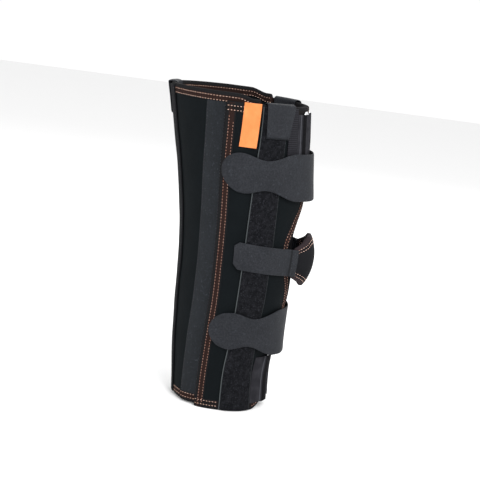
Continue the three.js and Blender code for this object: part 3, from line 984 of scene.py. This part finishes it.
def channel(word, side, zone, spec):
    """A sleeve swept down from its open mouth. Its section is an outer loop and a hollow one."""
    tube = spec["width"] - spec["flange"]
    across = stations(spec["width"], 1 * MM, CHANNEL_WALL)
    from_seam = (tube + CHANNEL_ROUND / 2 - across) / CHANNEL_ROUND
    rise = ease(from_seam) * ease(across / CHANNEL_ROUND + EDGE_SHARE)
    top = lerp(CHANNEL_WALL, CHANNEL_THICK, rise) * roundness(across, spec["width"], CHANNEL_WALL)
    start = (tube - STAY_WIDTH) / 2 - STAY_CLEARANCE
    room = STAY_WIDTH + 2 * STAY_CLEARANCE
    hollow = start + room * across / spec["width"]
    curve = roundness(across, spec["width"], HOLLOW_ROUND)
    high = lerp(CHANNEL_THICK / 2, CHANNEL_THICK - CHANNEL_WALL, curve)
    low = lerp(CHANNEL_THICK / 2, CHANNEL_WALL, curve)
    outer = np.concatenate((np.stack((across, top), -1), np.stack((across[::-1], 0 * across), -1)))
    inner = np.concatenate((np.stack((hollow, high), -1), np.stack((hollow[::-1], low[::-1]), -1)))
    down = stations(spec["length"], 3 * MM, 0.5 * MM)
    hollow_down = down[down < spec["length"] * HOLLOW_SHARE]
    loops = [(outer, depth) for depth in down] + [(inner, depth) for depth in hollow_down]
    rings = []
    flats = []
    for loop, depth in loops:
        z = spec["top"] - depth
        run = side * (gathered(FRONT_EDGE, z) + CHANNEL_EDGE_GAP + loop[:, 0])
        rings.append(point(run, np.full(run.shape, z), GAP + loop[:, 1]))
        flats.append(np.stack((loop[:, 0] - tube, np.full(len(loop), depth)), -1))
    around = len(outer)
    at = np.arange(len(loops) * around).reshape(len(loops), around)
    at = np.concatenate((at, at[:, :1]), axis=1)
    outside, inside = at[:len(down)], at[len(down):]
    faces = [quads(outside), quads(inside)[:, ::-1], quads(np.stack((inside[0], outside[0])))]
    faces += [outside[-1:, :-1], inside[-1:, :-1][:, ::-1]]
    piece = mesh_object(f"{word}_{zone}_sleeve", np.concatenate(rings), faces, np.concatenate(flats))
    facing_out(piece)
    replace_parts(SMOOTH.on(piece), f"{word}_{zone}_channel")


def stay(word, side, zone, spec):
    """A flat aluminium bar with a round tip."""
    tube = spec["width"] - spec["flange"]
    start = CHANNEL_EDGE_GAP + (tube - STAY_WIDTH) / 2
    thick = CHANNEL_THICK - 2 * CHANNEL_WALL - 2 * STAY_CLEARANCE
    size = (STAY_WIDTH, spec["stay"])

    def place(u, v):
        z = spec["top"] + spec["reveal"] - spec["stay"] + v
        past = 1 - np.clip((size[1] - v) / STAY_TIP, 0, 1)
        tip = np.sqrt(1 - past**2 * STAY_TIP_ROUND)
        across = size[0] / 2 + (u - size[0] / 2) * tip
        face = GAP + CHANNEL_WALL + STAY_CLEARANCE + thick
        return side * (gathered(FRONT_EDGE, z) + start + across), z, face + 0 * u

    piece = soft_piece(f"{word}_{zone}_bar", size, (1.5 * MM, 3 * MM), 0.3 * MM, thick, place)
    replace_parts(METAL.on(piece), f"{word}_{zone}_stay")


for word, side in SIDES:
    for zone, spec in CHANNELS.items():
        channel(word, side, zone, spec)
        stay(word, side, zone, spec)


# Wide straps
# Grey hook tape cut with a wide middle, two necks and two round ends, which are pressed on the loop
# pockets. The middle stands clear of the open front. The table's lengths are in millimetres.
STRAP_THICK = 1.7 * MM
STRAP_EDGE_SHARE = 0.03
END_RADIUS = 24.8 * MM
TIP_WIDTH = 9 * MM
RIPPLE = 0.26 * MM
RIPPLE_PITCH = 6.5 * MM
RIPPLE_START = 12 * MM
RIPPLE_SLANT = 0.12
LEAVES = 62 * MM
CLEAR = 12 * MM
STRAPS = {
    "upper_strap": dict(
        at=0.761, wide=59, wide_to=46, neck=37, neck_at=88, end_at=116,
        rise=3, stand_top=6.8, stand_foot=10.6,
    ),
    "lower_strap": dict(
        at=0.261, wide=61, wide_to=30, neck=38, neck_at=68, end_at=93.5,
        rise=3, stand_top=1.5, stand_foot=13.5,
    ),
}


def strap_face(run):
    """Face that the wide straps lie on, higher where they cross the channels."""
    over = CHANNEL_THICK - POCKET_THICK - POCKET_SWELL
    share = (POCKET_FRONT - run) / (POCKET_FRONT - THIGH_CHANNEL_WIDTH - FRONT_EDGE)
    return covered_face(run) + over * ease(share)


def upright_run(run, z, height):
    """A run on a strap, measured on the section at the strap's height, so its lines are upright."""
    return run * section(z)[3] / section(height)[3]


def strap_half_width(spec, along):
    past = np.clip((along - spec["end_at"]) / END_RADIUS, 0, 1)
    round_end = np.maximum(TIP_WIDTH / 2, END_RADIUS * np.sqrt(1 - past**2))
    swell = ease((along - spec["neck_at"]) / (spec["end_at"] - spec["neck_at"]))
    neck = lerp(spec["neck"] / 2, END_RADIUS, swell)
    narrowing = ease((along - spec["wide_to"]) / (spec["neck_at"] - spec["wide_to"]))
    body = lerp(spec["wide"], spec["neck"], narrowing) / 2
    return np.where(along > spec["end_at"], round_end, np.where(along > spec["neck_at"], neck, body))


def strap(name, table):
    spec = {key: value if key == "at" else value * MM for key, value in table.items()}
    height = spec["at"] * LENGTH
    turn = np.sin(np.linspace(0, 1, 22) * math.pi / 2)
    reach = np.concatenate((np.linspace(0, spec["end_at"], 60)[:-1], spec["end_at"] + END_RADIUS * turn))
    run = np.concatenate((-reach[:0:-1], reach))
    shares = stations(1.0, 0.045, STRAP_EDGE_SHARE)
    run, v = np.meshgrid(run, shares, indexing="ij")
    along = np.abs(run)
    z = height + spec["rise"] * along / spec["end_at"] + strap_half_width(spec, along) * (2 * v - 1)
    flat = along / gathered(1, z)
    stand = lerp(spec["stand_foot"], spec["stand_top"], v)
    lift = lerp(strap_face(flat), stand, ease((LEAVES - along) / (LEAVES - CLEAR)))
    end = ease((along - spec["neck_at"]) / RIPPLE_START)
    wave = (z - height + RIPPLE_SLANT * along) / RIPPLE_PITCH * 2 * math.pi
    lift = lift + RIPPLE * np.sin(wave) * end
    place = upright_run(run, z, height)
    tip = spec["end_at"] + END_RADIUS
    full = np.minimum(roundness(v, 1.0, STRAP_EDGE_SHARE), roundness(run + tip, 2 * tip, 1 * MM))
    middle = lift + GAP + STRAP_THICK / 2
    outer = point(place, z, middle + full * STRAP_THICK / 2)
    inner = point(place, z, middle - full * STRAP_THICK / 2)
    piece = closed_grid(name + "_tape", outer, inner, np.stack((run, z - height), axis=-1))
    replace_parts(HOOK.on(piece), name)
    steps = np.linspace(0, tip, 400)
    area = 4 * float(np.trapz(strap_half_width(spec, steps), steps))
    2 * tip


for name, table in STRAPS.items():
    strap(name, table)


# Kneecap strap
# A padded cloth piece over the opening, bound and sewn in tan along its upper and lower edges. A
# hook tape with a chamfered end is sewn over each end of it and pressed on the loop pocket.
KNEE_HEIGHT = 0.495 * LENGTH
KNEE_TAPE_WIDTH = 35 * MM
KNEE_TAPE_THICK = 1.7 * MM
KNEE_TAPE_END = 116 * MM
KNEE_TAPE_START = 33 * MM
KNEE_TAPE_STEP = 9 * MM
KNEE_TAPE_SLOPE = 8 * MM
KNEE_TAPE_ROWS = (2.5 * MM, 7 * MM)
KNEE_ROW_SHORT = 2 * MM
KNEE_CHAMFER = 6 * MM
KNEE_RISE = 8 * MM
PAD_HEIGHT = 62 * MM
PAD_REACH = 36 * MM
PAD_THICK = 7 * MM
PAD_EDGE = 2 * MM
PAD_TAPER = 16 * MM
PAD_STAND = 14.5 * MM
PAD_FLARE = 24 * MM
PAD_CROWN = 6 * MM
PAD_RISE_FROM = 48 * MM
PAD_RISE_TO = 8 * MM
PAD_BAND_WIDTH = 7 * MM
PAD_SEAM = 1.2 * MM
PAD_SEAM_SHARE = 0.1
PAD_PILLOW = 0.25
PAD_ROWS = (3.2 * MM, 7 * MM)
PAD_ROW_SHORT = 3 * MM
PAD_ROW_SINK = 0.12
PAD_ROW_PROUD = 0.35 * MM
SHOWN_BROWN = 5 * MM
SEWN_END = 8.5 * MM
SEAM_WIDTH = 1.3 * MM
SEAM_DEPTH = 0.5 * MM
PAD_BINDING = binding_cloth("pad_binding_cloth", dye(0.0150, 0.0105, 0.0120), dye(0.0250, 0.0180, 0.0195))
SEWN_HOOK = hook_tape("sewn_hook_tape", *HOOK_COLOURS, seam=(SEWN_END, SEAM_WIDTH))


def knee_face(along):
    rising = ease((PAD_RISE_FROM - along) / (PAD_RISE_FROM - PAD_RISE_TO))
    return lerp(covered_face(along), PAD_STAND, rising)


def pad_thickness(along):
    return lerp(PAD_EDGE, PAD_THICK, ease((PAD_REACH - along) / PAD_TAPER))


def pad_half(along):
    return lerp(KNEE_TAPE_WIDTH, PAD_HEIGHT, np.clip((PAD_REACH - along) / PAD_FLARE, 0, 1)) / 2


def pad_place(run, across):
    """Run, height and inner face of the pad. across is from -1 at its foot to 1 at its top."""
    along = np.abs(run)
    crown = PAD_CROWN * across**2 * ease((PAD_REACH - along) / PAD_FLARE)
    z = KNEE_HEIGHT + pad_half(along) * across
    return upright_run(run, z, KNEE_HEIGHT), z, knee_face(along) - crown


def knee_pad():
    along = stations(2 * PAD_REACH, 1.5 * MM, PAD_SEAM) - PAD_REACH
    run, across = np.meshgrid(along, stations(2.0, 0.06, PAD_SEAM_SHARE) - 1, indexing="ij")
    place, z, inner_face = pad_place(run, across)
    thick = pad_thickness(np.abs(run))
    full = roundness(across + 1, 2.0, PAD_SEAM_SHARE)
    full = np.minimum(full, roundness(run + PAD_REACH, 2 * PAD_REACH, PAD_SEAM))
    pillow = 1 - PAD_PILLOW * np.abs(across) ** 4
    middle = inner_face + thick / 2
    outer = point(place, z, middle + full * pillow * thick / 2)
    inner = point(place, z, middle - full * thick / 2)
    piece = closed_grid("knee_pad_cushion", outer, inner, np.stack((run, z - KNEE_HEIGHT), axis=-1))
    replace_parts(PAD_CLOTH.on(piece), "knee_pad")


def knee_pad_trim():
    """The pad's bound upper and lower edges, with two rows of stitches along each."""
    edge = np.linspace(-PAD_REACH, PAD_REACH, 70)
    row = np.linspace(-PAD_REACH + PAD_ROW_SHORT, PAD_REACH - PAD_ROW_SHORT, 60)
    half = pad_half(np.abs(row))
    rows = []
    for name, sign in (("foot", -1), ("top", 1)):
        run, z, face = pad_place(edge, sign + 0 * edge)
        inward = (0 * edge, -sign + 0 * edge)
        pad_band(f"knee_pad_{name}_binding", run, z, inward, face, pad_thickness(np.abs(edge)))
        for inset in PAD_ROWS:
            share = sign * (half - inset) / half
            run, z, face = pad_place(row, share)
            thick = pad_thickness(np.abs(row)) * (1 - PAD_ROW_SINK * np.abs(share) ** 4)
            rows.append((run, z, face + thick + PAD_ROW_PROUD))
            rows.append((run, z, face - PAD_ROW_PROUD))
    stitching("knee_pad_stitches", rows, TAN)


def pad_band(name, run, z, inward, inner_face, thick):
    """A narrow bound edge of the pad, which gets thinner towards its ends."""
    far = PAD_BAND_WIDTH * np.array([1, 0.7, 0.35, 0.1, -0.15, -0.22, -0.15, 0.1, 0.35, 0.7, 1])
    share = np.array([0.93, 0.97, 0.95, 0.9, 0.75, 0.5, 0.25, 0.1, 0.05, 0.03, 0.07])
    ring_run = run[:, None] + inward[0][:, None] * far
    ring_z = z[:, None] + inward[1][:, None] * far
    proud = np.where(share > 0.5, BAND_PROUD, -BAND_PROUD)
    ring = point(ring_run, ring_z, inner_face[:, None] + thick[:, None] * share + proud)
    lengths = smooth_lengths(point(run, z, inner_face))
    flat = np.stack(np.broadcast_arrays(SHOWN_BROWN + far / 3, lengths[:, None]), axis=-1)
    return PAD_BINDING.on(swept_band(name, ring, flat))


def knee_tape(word, side):
    size = (KNEE_TAPE_END - KNEE_TAPE_START, KNEE_TAPE_WIDTH)

    def place(u, v):
        along = KNEE_TAPE_START + u
        chamfer = np.maximum(0, along - KNEE_TAPE_END + KNEE_CHAMFER)
        rise = KNEE_RISE * (along - PAD_REACH) / (KNEE_TAPE_END - PAD_REACH)
        z = KNEE_HEIGHT + rise + (KNEE_TAPE_WIDTH / 2 - chamfer) * (2 * v / size[1] - 1)
        on_pad = ease((PAD_REACH + KNEE_TAPE_STEP - along) / KNEE_TAPE_SLOPE)
        over = on_pad * (pad_thickness(along) + GAP)
        seam = SEAM_DEPTH * np.exp(-((u - SEWN_END) / SEAM_WIDTH) ** 2)
        face = knee_face(along) + over + GAP + KNEE_TAPE_THICK - seam
        return side * upright_run(along, z, KNEE_HEIGHT), z, face

    piece = soft_piece(f"{word}_knee_hook_tape", size, (0.7 * MM, 2.5 * MM), 0.8 * MM, KNEE_TAPE_THICK, place)
    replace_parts(SEWN_HOOK.on(piece), f"{word}_knee_tape")
    rows = []
    v = np.linspace(KNEE_ROW_SHORT, size[1] - KNEE_ROW_SHORT, 20)
    for u in KNEE_TAPE_ROWS:
        rows.append(np.broadcast_arrays(*place(u + 0 * v, v)))
    stitching(f"{word}_knee_tape_stitches", rows, BLACK_THREAD)


knee_pad()
knee_pad_trim()
for word, side in SIDES:
    knee_tape(word, side)


# Floor, light and camera
# A pale floor and broad soft lights on all sides. The camera stands where the photo was taken
# from, and is rolled a little as the photo is.
FLOOR_REACH = 6.0
CAMERA_AZIMUTH = math.radians(-85)
CAMERA_ELEVATION = math.radians(11.28)
CAMERA_ROLL = math.radians(7.29)
CAMERA_DISTANCE = 1.5378
CAMERA_TARGET = np.array([0.0, BACK_REACH, 0.203])
FOCAL_PIXELS = 1182.9
IMAGE_PIXELS = 480
TARGET_PIXEL = (240.46, 247.83)
SENSOR = 36.0


def floor():
    mesh = bpy.data.meshes.new("floor")
    corners = [(x * FLOOR_REACH, y * FLOOR_REACH, 0) for x, y in ((-1, -1), (1, -1), (1, 1), (-1, 1))]
    mesh.from_pydata(corners, [], [(0, 1, 2, 3)])
    piece = bpy.data.objects.new("floor", mesh)
    bpy.context.scene.collection.objects.link(piece)
    material = bpy.data.materials.new("pale_floor")
    material.use_nodes = True
    shader = material.node_tree.nodes["Principled BSDF"]
    shader.inputs["Base Color"].default_value = (0.86, 0.86, 0.86, 1)
    shader.inputs["Roughness"].default_value = 0.9
    mesh.materials.append(material)


def aim(thing, right, up, back, place):
    matrix = np.eye(4)
    matrix[:3, 0] = right
    matrix[:3, 1] = up
    matrix[:3, 2] = back
    matrix[:3, 3] = place
    thing.matrix_world = Matrix(matrix.tolist())


def light(name, place, target, size, watts):
    lamp = bpy.data.lights.new(name, "AREA")
    lamp.shape = "DISK"
    lamp.size = size
    lamp.energy = watts
    holder = bpy.data.objects.new(name, lamp)
    bpy.context.scene.collection.objects.link(holder)
    back = unit(np.array(place) - np.array(target))
    right = unit(np.cross([0, 0, 1.0], back))
    aim(holder, right, np.cross(back, right), back, place)


def camera():
    a, e, roll = CAMERA_AZIMUTH, CAMERA_ELEVATION, CAMERA_ROLL
    back = np.array([math.sin(a) * math.cos(e), -math.cos(a) * math.cos(e), math.sin(e)])
    right = unit(np.cross(-back, [0, 0, 1.0]))
    up = np.cross(right, -back)
    rolled_right = math.cos(roll) * right + math.sin(roll) * up
    rolled_up = -math.sin(roll) * right + math.cos(roll) * up
    lens = bpy.data.cameras.new("photo_camera")
    lens.sensor_width = SENSOR
    lens.lens = SENSOR * FOCAL_PIXELS / IMAGE_PIXELS
    lens.shift_x = -(TARGET_PIXEL[0] - IMAGE_PIXELS / 2) / IMAGE_PIXELS
    lens.shift_y = (TARGET_PIXEL[1] - IMAGE_PIXELS / 2) / IMAGE_PIXELS
    holder = bpy.data.objects.new("photo_camera", lens)
    bpy.context.scene.collection.objects.link(holder)
    aim(holder, rolled_right, rolled_up, back, CAMERA_TARGET + CAMERA_DISTANCE * back)
    bpy.context.scene.camera = holder


floor()
light("key", (-1.6, -0.9, 1.9), (0, 0, 0.2), 1.3, 44)
light("front_fill", (-0.6, -1.9, 0.9), (0, 0, 0.2), 1.4, 16)
light("back_fill", (-1.3, 1.4, 0.5), (0, 0, 0.15), 1.2, 24)
light("far_side", (1.6, -0.2, 1.5), (0, 0, 0.2), 1.4, 12)
world = bpy.data.worlds.new("studio")
world.use_nodes = True
world.node_tree.nodes["Background"].inputs["Color"].default_value = (1, 1, 1, 1)
world.node_tree.nodes["Background"].inputs["Strength"].default_value = 1.02
bpy.context.scene.world = world
bpy.context.scene.view_settings.view_transform = "Standard"
camera()
